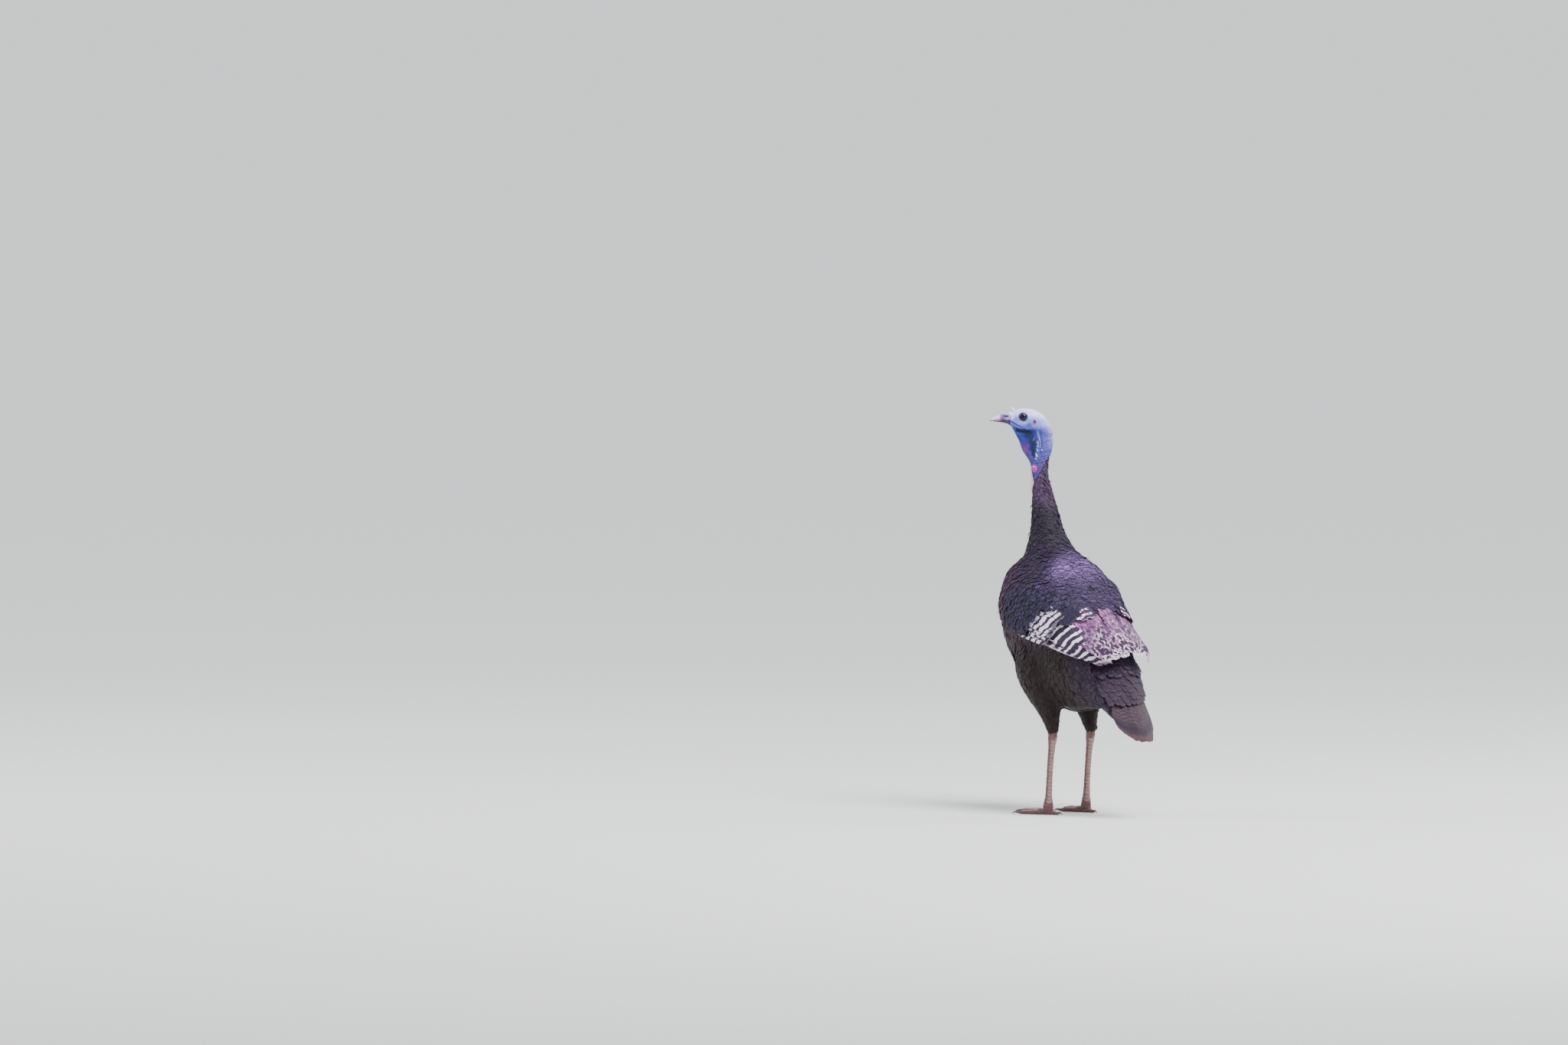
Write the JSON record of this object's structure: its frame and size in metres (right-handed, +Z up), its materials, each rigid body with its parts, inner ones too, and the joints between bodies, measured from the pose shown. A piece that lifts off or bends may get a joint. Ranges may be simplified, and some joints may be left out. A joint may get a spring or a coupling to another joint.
{
  "type": "wild turkey hen, life-size still model",
  "caption": "Life-size still model of a wild turkey hen standing upright and alert, head turned to her left, bare blue head, barred folded wings and dark plumage.",
  "frame": {"origin": "on the floor plane under the soles, at the centre of the bounding box's underside", "axes": "+Z up; the body and breast face -Y and the tail is at +Y; the bird's left side is +X"},
  "size_m": [0.2098, 0.3744, 0.7323],
  "materials": {
    "body_feather": "dark bronze-black contour feathers with a violet and copper sheen, soft and overlapping",
    "neck_feather": "small brown-purple neck feathers with pale edges, matt",
    "wing_covert": "dark wing coverts with a blue-violet sheen and darker ends",
    "flight_feather": "flight feathers barred white and blackish brown, matt",
    "tail_feather": "tail feathers, dark brown barred with chestnut, with a lilac sheen",
    "bare_skin": "bare head and neck skin, pale blue, lavender and violet, finely bumpy, slightly moist",
    "snood_skin": "small fleshy snood, greyish pink, bumpy",
    "bill_horn": "bill horn, mauve at its root to ivory at its tip, half gloss",
    "eye": "dark brown eye, wet and glossy",
    "leg_scale": "pinkish brown leg and toe scales, half gloss",
    "claw_horn": "dark brown claw horn"
  },
  "bodies": {
    "root": {"bill_lower": "bill_horn", "bill_upper": "bill_horn", "eye_left": "eye", "eye_right": "eye", "head": "bare_skin", "neck_bare": "bare_skin", "neck_lower": "neck_feather", "neck_middle": "neck_feather", "shank_left": "leg_scale", "shank_right": "leg_scale", "snood": "snood_skin", "tail_coverts_under": "body_feather", "tail_coverts_upper": "body_feather", "tail_feathers": "tail_feather", "thigh_left": "body_feather", "thigh_right": "body_feather", "toe_hind_claw_left": "claw_horn", "toe_hind_claw_right": "claw_horn", "toe_hind_left": "leg_scale", "toe_hind_right": "leg_scale", "toe_inner_claw_left": "claw_horn", "toe_inner_claw_right": "claw_horn", "toe_inner_left": "leg_scale", "toe_inner_right": "leg_scale", "toe_middle_claw_left": "claw_horn", "toe_middle_claw_right": "claw_horn", "toe_middle_left": "leg_scale", "toe_middle_right": "leg_scale", "toe_outer_claw_left": "claw_horn", "toe_outer_claw_right": "claw_horn", "toe_outer_left": "leg_scale", "toe_outer_right": "leg_scale", "trunk": "body_feather", "wing_left_coverts": "wing_covert", "wing_left_primaries": "flight_feather", "wing_left_secondaries": "flight_feather", "wing_right_coverts": "wing_covert", "wing_right_primaries": "flight_feather", "wing_right_secondaries": "flight_feather"}
  },
  "joints": []
}
